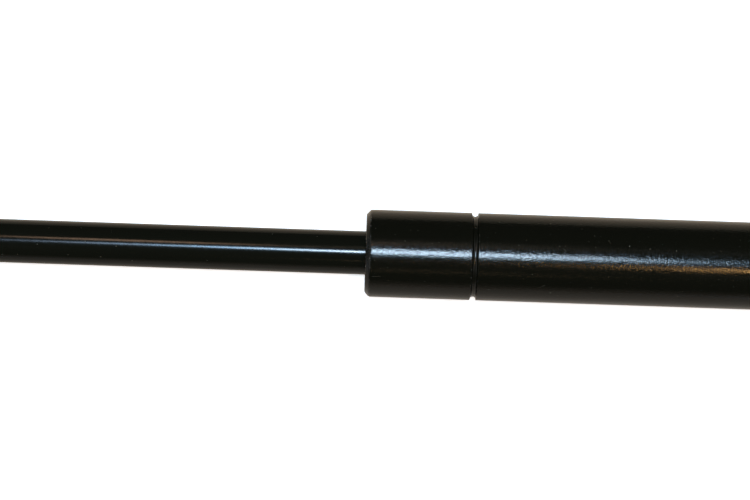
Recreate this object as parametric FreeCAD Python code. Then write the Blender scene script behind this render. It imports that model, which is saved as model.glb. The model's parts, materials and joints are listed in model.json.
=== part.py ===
import FreeCAD, Part
import math
import os

# Gas strut for furniture flaps, lids and wall beds, in millimetres, shown fully extended.
# The strut lies along X with its rod toward -X and its tube toward +X. Both ball studs point
# along +Y and +Z is up. The origin is the centre of the tube-end stud's bracket face, so the
# strut's own centre line runs parallel to X at a negative Y.

# Strut
rod_diameter = 14.0
tube_diameter = 28.0
tube_wall = 1.5
stroke = 200.0
rod_left_out = 5.0

# Rolled ends and rolled grooves of the tube
lip_bevel = 1.45
lip_edge_radius = 1.1
lip_face_width = 2.05
groove_radius = 1.15
nose_groove_from_end = 34.7
rear_groove_from_end = 8.0

# Guide and seals at the nose, from the outside inward
guide_length = 14.0
wiper_depth = 5.0
wiper_section = 2.5
wiper_lip = 0.6
wiper_recess = 0.4
liner_wall = 1.0
grease_gap = 2.0
backup_ring_thickness = 1.5
rod_seal_length = 5.5
seal_lip_depth = 2.6
seal_lip_thickness = 0.9
groove_washer_thickness = 2.5

# Piston and what holds it on the rod
piston_length = 10.0
piston_play = 0.3
piston_ring_width = 3.0
piston_ring_section = 2.0
piston_ring_gap = 1.2
piston_stem_diameter = 10.0
front_washer_thickness = 3.0
throttle_disc_thickness = 0.8
throttle_disc_inset = 1.2
throttle_orifice = 0.8
rear_washer_thickness = 2.0
rear_washer_diameter = 13.4
passage_diameter = 2.5
passage_count = 3
rivet_diameter = 12.4
rivet_height = 2.5
rear_spare_travel = 3.0

# End plug
plug_length = 15.5
plug_boss_length = 2.0
plug_seal_section = 2.2
plug_seal_from_face = 3.5

# Screw thread that joins each socket to the strut, at its outer diameter
thread_diameter = 10.0
thread_tip_room = 2.0
thread_chamfer = 1.0

# Ball socket
ball_diameter = 16.0
socket_length = 35.0
socket_shank_diameter = 16.0
socket_neck_diameter = 13.0
socket_neck_length = 1.5
socket_head_diameter = 24.0
cup_floor = 2.6
mouth_height = 9.0
socket_edge = 0.8
head_edge = 2.4
neck_fillet = 1.2

# Safety clip, a bent wire that lies in two slots beside the ball
wire_diameter = 2.0
clip_height = 4.0
clip_tip_inset = 0.3
clip_bow_reach = 9.5

# Ball stud
neck_diameter = 9.5
hex_across_flats = 13.0
hex_thickness = 5.5
ball_to_seat = 16.5
stud_diameter = 10.0
stud_length = 20.0

# Clearances, each on the radius or on one side
running_clearance = 0.05
fixed_clearance = 0.02
free_clearance = 0.3
wire_clearance = 0.1

rod_radius = rod_diameter / 2
tube_radius = tube_diameter / 2
bore_radius = tube_radius - tube_wall
fitted_radius = bore_radius - fixed_clearance
thread_radius = thread_diameter / 2
stem_radius = piston_stem_diameter / 2
shank_radius = socket_shank_diameter / 2
neck_radius = socket_neck_diameter / 2
head_radius = socket_head_diameter / 2
ball_radius = ball_diameter / 2
wire_radius = wire_diameter / 2

# A rolled groove is half a circle in section. Its wall keeps its thickness, so the bore has a
# ridge with the same centre, which starts this far to each side of the groove's middle.
ridge_radius = groove_radius + tube_wall
ridge_reach = math.sqrt(ridge_radius ** 2 - tube_wall ** 2)

# The bevel of the rolled lip keeps the wall's thickness too, so it is smaller on the inside.
inner_bevel = lip_bevel - tube_wall * (2 - math.sqrt(2))
lip_opening_radius = tube_radius - lip_bevel - lip_face_width

# A socket's straight neck widens to its shank at 45 degrees, and the thread hole starts there.
neck_end = head_radius + socket_neck_length
hole_start = neck_end + shank_radius - neck_radius
thread_length = socket_length - hole_start - thread_tip_room

# Stations along the strut, measured from the centre of the tube-end ball
rear_face = -socket_length - plug_boss_length
plug_back = rear_face - tube_wall
plug_front = plug_back - plug_length
rear_groove = rear_face - rear_groove_from_end
piston_stack = (front_washer_thickness + piston_length + throttle_disc_thickness
                + rear_washer_thickness + rivet_height)
piston_front = plug_front - rear_spare_travel - stroke - piston_stack
nose_groove = piston_front - free_clearance - ridge_reach
nose_face = nose_groove - nose_groove_from_end
guide_front = nose_face + tube_wall
guide_back = guide_front + guide_length
liner_front = guide_front + wiper_depth
package_back = nose_groove - ridge_reach
rod_shoulder = nose_face - rod_left_out - stroke
rod_ball = rod_shoulder - socket_length

piston_radius = bore_radius - piston_play
ring_floor = bore_radius - running_clearance - piston_ring_section - running_clearance
passage_circle = (rear_washer_diameter / 2 + ring_floor) / 2

cup_radius = ball_radius + running_clearance
clip_half_width = math.sqrt((ball_radius + wire_radius + wire_clearance) ** 2 - clip_height ** 2)
clip_tip = math.sqrt(head_radius ** 2 - clip_half_width ** 2) - clip_tip_inset
hex_base = ball_to_seat - hex_thickness


def turned(outline):
    """Solid turned about the X axis from a closed outline of (x, radius) corners."""
    corners = [FreeCAD.Vector(x, radius, 0) for x, radius in outline]
    face = Part.Face(Part.makePolygon(corners + corners[:1]))
    return face.revolve(FreeCAD.Vector(0, 0, 0), FreeCAD.Vector(1, 0, 0), 360)


def ring(start, end, inner_radius, outer_radius):
    """Plain ring about the X axis."""
    return turned([(start, inner_radius), (start, outer_radius), (end, outer_radius), (end, inner_radius)])


def torus(x, radius, section_radius):
    """Torus about the X axis, with the middle of its section at x and radius."""
    return Part.makeTorus(radius, section_radius, FreeCAD.Vector(x, 0, 0), FreeCAD.Vector(1, 0, 0))


def rims(shape, x, radius):
    """The circular edges of a turned shape that lie at x and have that radius."""
    circles = [edge for edge in shape.Edges if isinstance(edge.Curve, Part.Circle)]
    near = [edge for edge in circles if abs(edge.Curve.Center.x - x) < 0.001]
    return [edge for edge in near if abs(edge.Curve.Radius - radius) < 0.001]


def upright(shape):
    """Turns a shape made about X so that it stands about Y."""
    shape.rotate(FreeCAD.Vector(0, 0, 0), FreeCAD.Vector(0, 0, 1), 90)
    return shape


def passages(start, end, diameter, count):
    """Round holes along X, evenly spaced on the circle of the gas passages."""
    holes = []
    for index in range(count):
        angle = 2 * math.pi * index / count
        foot = FreeCAD.Vector(start, passage_circle * math.cos(angle), passage_circle * math.sin(angle))
        holes.append(Part.makeCylinder(diameter / 2, end - start, foot, FreeCAD.Vector(1, 0, 0)))
    return Part.makeCompound(holes)


def pressure_tube():
    """Drawn steel tube, rolled in over its contents at both ends and grooved behind them."""
    outside = turned([
        (nose_face, 0),
        (nose_face, tube_radius - lip_bevel),
        (nose_face + lip_bevel, tube_radius),
        (rear_face - lip_bevel, tube_radius),
        (rear_face, tube_radius - lip_bevel),
        (rear_face, 0),
    ])
    inside = turned([
        (guide_front, 0),
        (guide_front, bore_radius - inner_bevel),
        (guide_front + inner_bevel, bore_radius),
        (plug_back - inner_bevel, bore_radius),
        (plug_back, bore_radius - inner_bevel),
        (plug_back, 0),
    ])
    for groove in (nose_groove, rear_groove):
        outside = outside.cut(torus(groove, tube_radius, groove_radius))
        inside = inside.cut(torus(groove, tube_radius, ridge_radius))
    opening_length = rear_face - nose_face
    opening = Part.makeCylinder(lip_opening_radius, opening_length, FreeCAD.Vector(nose_face, 0, 0),
                                FreeCAD.Vector(1, 0, 0))
    tube = outside.cut(inside).cut(opening)
    edges = rims(tube, nose_face + lip_bevel, tube_radius) + rims(tube, rear_face - lip_bevel, tube_radius)
    for face in (nose_face, rear_face):
        edges += rims(tube, face, tube_radius - lip_bevel) + rims(tube, face, lip_opening_radius)
    return tube.makeFillet(lip_edge_radius, edges)


def end_plug():
    """Turned plug that closes the tube, with a boss and the threaded stud of the tube end."""
    boss_end = -socket_length
    stud_end = boss_end + thread_length
    plug = turned([
        (plug_front, 0),
        (plug_front, fitted_radius - inner_bevel),
        (plug_front + inner_bevel, fitted_radius),
        (plug_back - inner_bevel, fitted_radius),
        (plug_back, fitted_radius - inner_bevel),
        (plug_back, shank_radius),
        (boss_end, shank_radius),
        (boss_end, thread_radius),
        (stud_end - thread_chamfer, thread_radius),
        (stud_end, thread_radius - thread_chamfer),
        (stud_end, 0),
    ])
    plug = plug.cut(torus(rear_groove, tube_radius, ridge_radius + fixed_clearance))
    seal_floor = bore_radius - plug_seal_section - fixed_clearance
    seal_front = plug_front + plug_seal_from_face - plug_seal_section / 2 - free_clearance
    seal_back = plug_front + plug_seal_from_face + plug_seal_section / 2 + free_clearance
    return plug.cut(ring(seal_front, seal_back, seal_floor, tube_radius))


def end_plug_seal():
    """O-ring in the plug's groove."""
    section_radius = plug_seal_section / 2
    return torus(plug_front + plug_seal_from_face, bore_radius - fixed_clearance / 2 - section_radius,
                 section_radius)


def guide_bush():
    """Brass bush under the rolled lip, with a pocket for the wiper and a bore for the liner."""
    pocket_radius = rod_radius + wiper_section
    liner_seat = rod_radius + running_clearance + liner_wall + fixed_clearance
    return turned([
        (guide_front, pocket_radius),
        (guide_front, fitted_radius - inner_bevel),
        (guide_front + inner_bevel, fitted_radius),
        (guide_back, fitted_radius),
        (guide_back, liner_seat),
        (liner_front, liner_seat),
        (liner_front, pocket_radius),
    ])


def guide_liner():
    """Plain bearing sleeve that the rod slides in."""
    inner_radius = rod_radius + running_clearance
    return ring(liner_front, guide_back, inner_radius, inner_radius + liner_wall)


def wiper_ring():
    """Ring in the guide's pocket whose tapered lip clears dirt from the rod."""
    inner_radius = rod_radius + running_clearance
    outer_radius = rod_radius + wiper_section - fixed_clearance
    return turned([
        (liner_front, inner_radius),
        (liner_front, outer_radius),
        (guide_front, outer_radius),
        (guide_front, inner_radius + 2 * wiper_lip),
        (nose_face + wiper_recess, inner_radius + wiper_lip),
        (nose_face + wiper_recess, inner_radius),
    ])


def piston_rod():
    """Nitrided rod with its end thread, the stem that carries the piston and the riveted head."""
    thread_tip = rod_shoulder - thread_length
    rivet_start = piston_front + piston_stack - rivet_height
    rivet_end = piston_front + piston_stack
    rivet_chamfer = rivet_height / 2
    return turned([
        (thread_tip, 0),
        (thread_tip, thread_radius - thread_chamfer),
        (thread_tip + thread_chamfer, thread_radius),
        (rod_shoulder, thread_radius),
        (rod_shoulder, rod_radius - socket_edge),
        (rod_shoulder + socket_edge, rod_radius),
        (piston_front, rod_radius),
        (piston_front, stem_radius),
        (rivet_start, stem_radius),
        (rivet_start, rivet_diameter / 2),
        (rivet_end - rivet_chamfer, rivet_diameter / 2),
        (rivet_end, rivet_diameter / 2 - rivet_chamfer),
        (rivet_end, 0),
    ])


def piston_parts():
    """Washers, piston, split ring and throttle disc in their order on the stem, by node name."""
    stem_hole = stem_radius + fixed_clearance
    body_front = piston_front + front_washer_thickness
    body_back = body_front + piston_length
    disc_back = body_back + throttle_disc_thickness
    washer_back = disc_back + rear_washer_thickness
    ring_front = (body_front + body_back - piston_ring_width) / 2
    ring_back = ring_front + piston_ring_width

    front_washer = ring(piston_front, body_front, stem_hole, piston_radius)
    body = ring(body_front, body_back, stem_hole, piston_radius)
    groove = ring(ring_front - running_clearance, ring_back + running_clearance, ring_floor, tube_radius)
    holes = passages(piston_front, body_back, passage_diameter, passage_count)
    disc = ring(body_back, disc_back, stem_hole, piston_radius - throttle_disc_inset)
    orifice = passages(body_back, disc_back, throttle_orifice, 1)

    outer_radius = bore_radius - running_clearance
    split_ring = ring(ring_front, ring_back, outer_radius - piston_ring_section, outer_radius)
    gap = Part.makeBox(piston_ring_width, tube_radius, piston_ring_gap,
                       FreeCAD.Vector(ring_front, 0, -piston_ring_gap / 2))
    return {
        "piston_front_washer": front_washer.cut(holes),
        "piston_body": body.cut(groove).cut(holes),
        "piston_ring": split_ring.cut(gap),
        "throttle_disc": disc.cut(orifice),
        "piston_rear_washer": ring(disc_back, washer_back, stem_hole, rear_washer_diameter / 2),
    }


def nose_package():
    """Sleeve, rings and washer that fill the tube from the guide to the rolled groove, by name."""
    seal_inner = rod_radius + running_clearance
    washer_front = package_back - groove_washer_thickness
    seal_front = washer_front - rod_seal_length
    backup_front = seal_front - backup_ring_thickness
    seal_middle = (seal_inner + fitted_radius) / 2
    rod_seal = turned([
        (seal_front, seal_inner),
        (seal_front, fitted_radius),
        (washer_front, fitted_radius),
        (washer_front, fitted_radius - seal_lip_thickness),
        (washer_front - seal_lip_depth, seal_middle),
        (washer_front, seal_inner + seal_lip_thickness),
        (washer_front, seal_inner),
    ])
    return {
        "grease_sleeve": ring(guide_back, backup_front, rod_radius + grease_gap, fitted_radius),
        "seal_backup_ring": ring(backup_front, seal_front, rod_radius + free_clearance, fitted_radius),
        "rod_seal": rod_seal,
        "groove_washer": ring(washer_front, package_back, rod_radius + free_clearance, fitted_radius),
    }


def neck_edges(body):
    """The curved edges where the socket's neck runs into its round head."""
    shallow = math.sqrt(head_radius ** 2 - neck_radius ** 2)
    found = []
    for edge in body.Edges:
        box = edge.BoundBox
        if box.XMin > shallow - 0.01 and box.XMax < head_radius + 0.01 and box.XLength > 0.1:
            if max(abs(box.ZMin), abs(box.ZMax)) < neck_radius + 0.01:
                found.append(edge)
    return found


def ball_socket():
    """Steel socket about the ball's centre, with its shank along +X and its mouth toward +Y."""
    head_back = cup_radius + cup_floor
    head = upright(turned([
        (-head_back, 0),
        (-head_back, head_radius - head_edge),
        (-head_back + head_edge, head_radius),
        (mouth_height - socket_edge, head_radius),
        (mouth_height, head_radius - socket_edge),
        (mouth_height, 0),
    ]))
    shank = turned([
        (0, 0),
        (0, neck_radius),
        (neck_end, neck_radius),
        (hole_start, shank_radius),
        (socket_length - socket_edge, shank_radius),
        (socket_length, shank_radius - socket_edge),
        (socket_length, 0),
    ])
    body = head.fuse(shank).removeSplitter()
    body = body.makeFillet(neck_fillet, neck_edges(body))

    cup = Part.makeSphere(cup_radius)
    mouth = Part.makeCylinder(cup_radius, mouth_height, FreeCAD.Vector(0, 0, 0), FreeCAD.Vector(0, 1, 0))
    hole_radius = thread_radius + fixed_clearance
    hole = turned([
        (hole_start - hole_radius / math.sqrt(3), 0),
        (hole_start, hole_radius),
        (socket_length, hole_radius),
        (socket_length, 0),
    ])
    body = body.cut(cup).cut(mouth).cut(hole)

    slot_width = wire_diameter + 2 * wire_clearance
    slot_floor = clip_half_width - wire_radius - wire_clearance
    for slot_start in (slot_floor, -slot_floor - head_radius):
        corner = FreeCAD.Vector(-head_radius, clip_height - slot_width / 2, slot_start)
        body = body.cut(Part.makeBox(2 * head_radius, slot_width, head_radius, corner))
    return body


def safety_clip():
    """Hairpin of spring wire: two straight legs in the socket's slots, joined by a bow at -X."""
    bow = -clip_bow_reach
    points = [FreeCAD.Vector(x, clip_height, z) for x, z in (
        (clip_tip, clip_half_width), (bow, clip_half_width), (bow - clip_half_width, 0),
        (bow, -clip_half_width), (clip_tip, -clip_half_width))]
    path = Part.Wire([
        Part.LineSegment(points[0], points[1]).toShape(),
        Part.Arc(points[1], points[2], points[3]).toShape(),
        Part.LineSegment(points[3], points[4]).toShape(),
    ])
    section = Part.Wire(Part.makeCircle(wire_radius, points[0], FreeCAD.Vector(-1, 0, 0)))
    return path.makePipeShell([section], True, False)


def ball_stud():
    """Ball on a neck, a hexagon with the bracket face and a threaded shank, along +Y."""
    stud_radius = stud_diameter / 2
    stud_end = ball_to_seat + stud_length
    corner_radius = hex_across_flats / math.sqrt(3)
    corner_chamfer = corner_radius - hex_across_flats / 2
    spine = upright(turned([
        (0, 0),
        (0, neck_diameter / 2),
        (hex_base, neck_diameter / 2),
        (hex_base, stud_radius),
        (stud_end - thread_chamfer, stud_radius),
        (stud_end, stud_radius - thread_chamfer),
        (stud_end, 0),
    ]))
    angles = [math.radians(60 * index) for index in range(7)]
    corners = [FreeCAD.Vector(corner_radius * math.cos(angle), hex_base, corner_radius * math.sin(angle))
               for angle in angles]
    prism = Part.Face(Part.makePolygon(corners)).extrude(FreeCAD.Vector(0, hex_thickness, 0))
    crown = upright(turned([
        (hex_base, 0),
        (hex_base, hex_across_flats / 2),
        (hex_base + corner_chamfer / math.sqrt(3), corner_radius),
        (ball_to_seat - corner_chamfer / math.sqrt(3), corner_radius),
        (ball_to_seat, hex_across_flats / 2),
        (ball_to_seat, 0),
    ]))
    return Part.makeSphere(ball_radius).fuse([spine, prism.common(crown)]).removeSplitter()


def facing_tube(shape):
    """Turns a fitting so that its shank points along -X, for the tube end."""
    shape.rotate(FreeCAD.Vector(0, 0, 0), FreeCAD.Vector(0, 1, 0), 180)
    return shape


def at_rod_ball(shape):
    """Moves a fitting to the rod-end ball."""
    shape.translate(FreeCAD.Vector(rod_ball, 0, 0))
    return shape


def save(node, shape):
    """Moves a shape from the strut's centre line to the part's origin and writes its file."""
    solid = shape.copy()
    solid.translate(FreeCAD.Vector(0, -ball_to_seat, 0))
    solid.exportStep("parts/" + node + ".step")
    print(node, "solids", len(solid.Solids), "valid", solid.isValid(), "volume", round(solid.Volume, 1))


os.makedirs("parts", exist_ok=True)

nodes = {
    "pressure_tube": pressure_tube(),
    "end_plug": end_plug(),
    "end_plug_seal": end_plug_seal(),
    "guide_bush": guide_bush(),
    "guide_liner": guide_liner(),
    "wiper_ring": wiper_ring(),
    "piston_rod": piston_rod(),
    "rod_end_socket": at_rod_ball(ball_socket()),
    "rod_end_safety_clip": at_rod_ball(safety_clip()),
    "rod_end_ball_stud": at_rod_ball(ball_stud()),
    "tube_end_socket": facing_tube(ball_socket()),
    "tube_end_safety_clip": facing_tube(safety_clip()),
    "tube_end_ball_stud": ball_stud(),
}
nodes.update(nose_package())
nodes.update(piston_parts())
for name, solid in nodes.items():
    save(name, solid)

# The ball is free when the tips of the clip's legs have passed it by the wire's radius.
ball_window = math.sqrt(ball_radius ** 2 - (clip_half_width - wire_radius) ** 2)
print("tube length", round(rear_face - nose_face, 3), "nose face x", round(nose_face, 3))
print("nose groove x", round(nose_groove, 3), "rod shoulder x", round(rod_shoulder, 3))
print("rod-end ball x", round(rod_ball, 3), "length between ball centres", round(-rod_ball, 3))
print("rod travel", stroke, "clip travel", round(clip_tip + ball_window + wire_radius, 1))
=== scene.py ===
# %% [markdown]
# A gas strut holds up the lid or flap of a piece of furniture. It is a sealed tube full of nitrogen
# with a rod that slides into it, and each end has a ball joint. The CAD model already holds every
# piece at its real size. This notebook dresses it: the visible pieces get smooth surfaces with
# rounded edges, and all of them get a finish. It starts by loading the CAD model as a fixed frame.

# %% Load the frame
import json
import math

import bmesh
import bpy
import numpy as np
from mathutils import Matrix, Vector


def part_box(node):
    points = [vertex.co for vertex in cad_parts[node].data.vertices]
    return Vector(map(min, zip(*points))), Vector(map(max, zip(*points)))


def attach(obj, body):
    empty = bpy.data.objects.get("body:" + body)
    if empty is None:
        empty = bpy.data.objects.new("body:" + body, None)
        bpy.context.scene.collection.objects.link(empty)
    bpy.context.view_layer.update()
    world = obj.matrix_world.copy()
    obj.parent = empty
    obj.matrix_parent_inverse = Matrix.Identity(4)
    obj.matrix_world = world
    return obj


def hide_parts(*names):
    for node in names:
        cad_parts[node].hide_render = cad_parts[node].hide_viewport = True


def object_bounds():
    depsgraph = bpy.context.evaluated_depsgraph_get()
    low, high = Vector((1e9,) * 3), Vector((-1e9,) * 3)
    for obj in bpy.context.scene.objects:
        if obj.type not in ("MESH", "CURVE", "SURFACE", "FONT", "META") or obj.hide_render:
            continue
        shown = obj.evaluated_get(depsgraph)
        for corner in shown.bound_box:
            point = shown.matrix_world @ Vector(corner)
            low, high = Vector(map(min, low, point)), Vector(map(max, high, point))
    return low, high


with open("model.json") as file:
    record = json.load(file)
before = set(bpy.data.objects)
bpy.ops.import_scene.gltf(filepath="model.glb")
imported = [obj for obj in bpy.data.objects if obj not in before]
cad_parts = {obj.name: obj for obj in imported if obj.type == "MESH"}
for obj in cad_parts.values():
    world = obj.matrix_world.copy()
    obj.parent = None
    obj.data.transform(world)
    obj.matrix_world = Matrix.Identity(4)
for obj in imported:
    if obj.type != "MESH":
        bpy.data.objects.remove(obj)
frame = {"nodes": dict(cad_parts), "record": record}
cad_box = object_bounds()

# %% [markdown]
# Everything is in metres, so a millimetre is given a name. The strut lies along X with its tube
# toward +X. Its centre line has a negative Y, because the origin is on the bracket face of a ball
# stud. Reading these places from the frame keeps the looks in step with the CAD model if a size
# changes there.

# %% Places read from the frame
mm = 0.001

tube_low, tube_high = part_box("pressure_tube")
nose_face, rear_face = tube_low.x, tube_high.x
tube_radius = (tube_high.z - tube_low.z) / 2
line_y = (tube_low.y + tube_high.y) / 2

rod_low, rod_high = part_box("piston_rod")
rod_radius = (rod_high.z - rod_low.z) / 2
rod_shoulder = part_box("rod_end_socket")[1].x
piston_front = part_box("piston_front_washer")[0].x
rivet_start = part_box("piston_rear_washer")[1].x

print("tube length", round((rear_face - nose_face) / mm, 2), "mm, radius", round(tube_radius / mm, 2))
print("rod radius", round(rod_radius / mm, 2), "mm, shoulder at x", round(rod_shoulder / mm, 2))

# %% [markdown]
# Most pieces of a strut are turned on a lathe, so most are surfaces of revolution: functions of how
# far round we are and how far along an outline. A modifier could spin an outline too, but a grid
# worked out with numpy also gives a map and an edge mask for the materials. First the outline: a
# real corner is never sharp, so each one becomes a small arc that touches both of its sides.

# %% Outlines with rounded corners
def rounded(corners, closed):
    """Outline through (station, radius, rounding) corners, as an array of points.

    The arc at a corner starts rounding / tan(half the corner's angle) before it, and its centre
    lies on the line that halves the corner. A guard point on each side of the arc keeps the
    shading of the flat parts straight."""
    arc_steps, arc_share = 5, 0.45
    guard_reach, guard_share = 1.6, 0.48
    places = np.array([corner[:2] for corner in corners], float)
    points = []
    for index, (here, corner) in enumerate(zip(places, corners)):
        rounding = corner[2]
        if rounding <= 0 or (not closed and index in (0, len(corners) - 1)):
            points.append(here[None])
            continue
        back, ahead = places[index - 1] - here, places[(index + 1) % len(corners)] - here
        back_length, ahead_length = np.linalg.norm(back), np.linalg.norm(ahead)
        back, ahead = back / back_length, ahead / ahead_length
        half_angle = math.acos(np.clip(back @ ahead, -1, 1)) / 2
        longest = arc_share * min(back_length, ahead_length)
        reach = min(rounding / math.tan(half_angle), longest)
        middle_way = (back + ahead) / np.linalg.norm(back + ahead)
        centre = here + middle_way * reach / math.cos(half_angle)
        start, end = here + back * reach - centre, here + ahead * reach - centre
        turn = math.atan2(start[0] * end[1] - start[1] * end[0], start @ end)
        angles = math.atan2(start[1], start[0]) + np.linspace(0, turn, arc_steps + 1)
        arc = centre + reach * math.tan(half_angle) * np.stack([np.cos(angles), np.sin(angles)], 1)
        before = here + back * min(guard_reach * reach, guard_share * back_length)
        after = here + ahead * min(guard_reach * reach, guard_share * ahead_length)
        points.append(np.vstack([before, arc, after]))
    return np.vstack(points)


# %% [markdown]
# A closed mesh shades well only where its faces point outwards. Its volume tells: added up with a
# sign for each triangle, it comes out positive when they do.

# %% Volume of a mesh
def signed_volume(mesh):
    """Volume inside a closed mesh: the sum of the tetrahedra that each triangle makes with the
    origin, which is positive when the faces point outwards."""
    mesh.calc_loop_triangles()
    corners = np.empty(len(mesh.loop_triangles) * 3, np.int32)
    mesh.loop_triangles.foreach_get("vertices", corners)
    places = np.empty(len(mesh.vertices) * 3)
    mesh.vertices.foreach_get("co", places)
    a, b, c = places.reshape(-1, 3)[corners.reshape(-1, 3)].transpose(1, 0, 2)
    return float(np.einsum("ij,ij->i", a, np.cross(b, c)).sum() / 6)


# %% [markdown]
# Next comes the grid itself. A ring closes on itself both ways. A solid piece has an outline that
# starts and ends on the axis, so there a whole row of the grid becomes a single vertex with a fan
# of triangles. The map's unit is the metre, round the piece and along its outline, so that
# machining lines and specks of dust can follow it.

# %% Turn a grid of points into a closed mesh
def grid_mesh(name, grid, closed, along, girth):
    """Mesh from a (rows, columns, 3) grid that closes round its columns.

    A closed outline joins its last row to its first, and an open one shrinks both to a point. The
    map is (share of the way round * girth, length along)."""
    rings = grid if closed else grid[1:-1]
    closing_length = np.linalg.norm(grid[0, 0] - grid[-1, 0])
    heights = np.append(along, along[-1] + closing_length) if closed else along[1:-1]
    bands, columns = len(heights) - 1, grid.shape[1]
    column = np.arange(columns)
    beside = (column + 1) % columns
    left, right = column / columns * girth, (column + 1) / columns * girth

    lower = np.arange(bands)[:, None] * columns
    upper = (np.arange(bands) + 1)[:, None] % len(rings) * columns
    quads = np.stack([lower + column, lower + beside, upper + beside, upper + column], -1)
    low, high = heights[:-1, None], heights[1:, None]
    quad_map = np.stack(np.broadcast_arrays(np.stack([left, right, right, left], -1),
                                            np.stack([low, low, high, high], -1)), -1)

    vertices = rings.reshape(-1, 3)
    faces, maps = quads.reshape(-1, 4).tolist(), [quad_map.reshape(-1, 2)]
    if not closed:
        first_pole, last_pole = len(vertices), len(vertices) + 1
        vertices = np.vstack([vertices, grid[0, :1], grid[-1, :1]])
        last_ring = (len(rings) - 1) * columns
        first_fan = np.stack([np.full_like(column, first_pole), beside, column], 1)
        last_fan = np.stack([np.full_like(column, last_pole), last_ring + column, last_ring + beside], 1)
        faces += first_fan.tolist() + last_fan.tolist()
        middle = (left + right) / 2
        for pole, ring, sides in ((along[0], heights[0], (right, left)),
                                  (along[-1], heights[-1], (left, right))):
            fan_map = np.stack([np.stack([middle, *sides], 1), np.full((columns, 3), ring)], -1)
            fan_map[:, 0, 1] = pole
            maps.append(fan_map.reshape(-1, 2))

    mesh = bpy.data.meshes.new(name)
    mesh.from_pydata(vertices.tolist(), [], faces)
    mesh.uv_layers.new(name="wrap").data.foreach_set("uv", np.vstack(maps).astype(np.float32).ravel())
    if signed_volume(mesh) < 0:
        mesh.flip_normals()
    mesh.shade_smooth()
    return mesh


# %% [markdown]
# Now the shape that is used again and again, a body turned about the strut's own line. Each object
# stays at the origin with its place in its mesh, as the CAD nodes do, so that patterns on object
# coordinates stay put when the pieces move. A last helper hands a piece to the frame: which body it
# rides on, which CAD node it stands for and which finish that node has.

# %% Turned pieces
def place(name, mesh):
    """Puts a mesh in the scene as an object at the origin."""
    piece = bpy.data.objects.new(name, mesh)
    bpy.context.scene.collection.objects.link(piece)
    print(name, "vertices", len(mesh.vertices))
    return piece


def path_lengths(outline):
    """Distance along an outline from its first point to each of its points."""
    return np.append(0, np.cumsum(np.linalg.norm(np.diff(outline, axis=0), axis=1)))


def turned(name, outline, closed, columns=160):
    """Piece turned about the strut's line: x is the station, and y and z are the radius times the
    cosine and sine of the angle."""
    angles = np.arange(columns) / columns * 2 * np.pi
    stations, radii = outline[:, :1], outline[:, 1:]
    grid = np.stack(np.broadcast_arrays(
        stations, line_y + radii * np.cos(angles), radii * np.sin(angles)), -1)
    girth = 2 * np.pi * outline[:, 1].max()
    return place(name, grid_mesh(name, grid, closed, path_lengths(outline), girth))


bodies = frame["record"]["behaviour"]["bodies"]
body_of_node = {node: body for body, nodes in bodies.items() for node in nodes}
slot_of_node = {part["node"]: part["material_slot"] for part in frame["record"]["subparts"]}


def stand_for(piece, node):
    """The piece takes the CAD node's place: its body, its finish and its share of the picture. The
    two volumes in the print differ only by rounded edges, threads and the like."""
    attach(piece, body_of_node[node])
    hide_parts(node)
    piece["finish"] = slot_of_node[node]
    volume, cad_volume = signed_volume(piece.data), signed_volume(frame["nodes"][node].data)
    print(piece.name, "volume", round(volume / mm ** 3), "mm3, CAD", round(cad_volume / mm ** 3))
    return piece


# %% [markdown]
# The pressure tube is drawn steel. A blunt wheel rolls a groove into it, whose ridge inside holds
# the seals. The groove is the photograph's clearest feature: a round bottom between walls so steep,
# with shoulders so tight, that they read as two black lines. A shoulder's arc touches the tube's
# surface and the wall, so its centre lies one radius away from both.

# %% Rolled groove
groove_depth = 1.15 * mm
groove_hollow = 1.0 * mm
groove_shoulder = 0.1 * mm
shoulder_points, hollow_points = 7, 20


def rolled_groove(station):
    """Outline of a U-shaped groove: a shoulder arc, half a circle whose centre lies depth - hollow
    below the surface, and another shoulder. A point on the plain surface, two shoulder radii
    farther out, keeps the shading of the long plain part beside it straight."""
    turn = np.linspace(math.pi / 2, 0, shoulder_points)
    sweep = np.linspace(math.pi, 2 * math.pi, hollow_points)
    first_shoulder = groove_shoulder * np.stack([np.cos(turn) - 1, np.sin(turn) - 1], 1)
    first_shoulder -= (groove_hollow, 0)
    bottom = groove_hollow * np.stack([np.cos(sweep), np.sin(sweep)], 1)
    bottom -= (0, groove_depth - groove_hollow)
    second_shoulder = first_shoulder[::-1] * (-1, 1)
    plain = np.array([(groove_hollow + 3 * groove_shoulder, 0)])
    points = np.vstack([-plain, first_shoulder, bottom, second_shoulder, plain]) + (station, tube_radius)
    return [(x, r, 0) for x, r in points]


# %% [markdown]
# Each end of the tube is rolled in, over the guide at the nose and over the plug at the rear, which
# leaves a bevel and a flat lip. The outline turns back inside and runs along the bore, so that the
# tube gets a real wall.

# %% Pressure tube
tube_wall = 1.5 * mm
lip_bevel = 1.45 * mm
lip_round = 1.1 * mm
lip_face_width = 2.05 * mm
tube_columns = 240
nose_groove = nose_face + 34.7 * mm
rear_groove = rear_face - 8 * mm

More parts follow.
